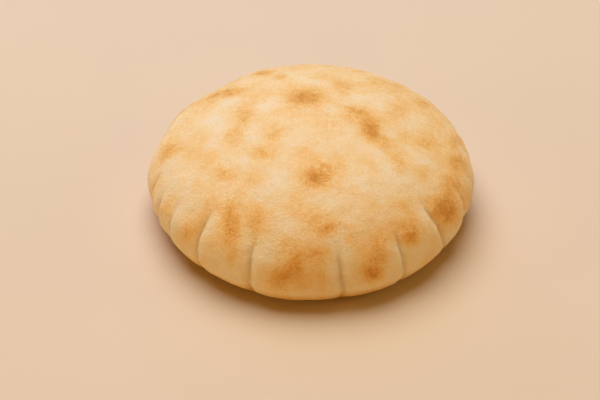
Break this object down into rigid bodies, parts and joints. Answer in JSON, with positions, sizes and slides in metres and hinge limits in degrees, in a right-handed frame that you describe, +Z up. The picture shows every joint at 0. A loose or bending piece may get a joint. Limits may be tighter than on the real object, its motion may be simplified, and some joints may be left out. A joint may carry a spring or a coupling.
{
  "type": "puffed pocket flatbread",
  "caption": "Round flatbread puffed into a low dome, with radial pleats round its rim, browned spots and a flat underside.",
  "frame": {"origin": "on the table, under the centre of the loaf's bounding box", "axes": "+Z up through the crown, -Y towards the side shown in the picture, +X to its right"},
  "size_m": [0.1664, 0.1654, 0.0591],
  "materials": {
    "crust": "matte baked bread crust, pale gold with soft brown spots"
  },
  "bodies": {
    "root": {"flatbread": "crust"}
  },
  "joints": []
}
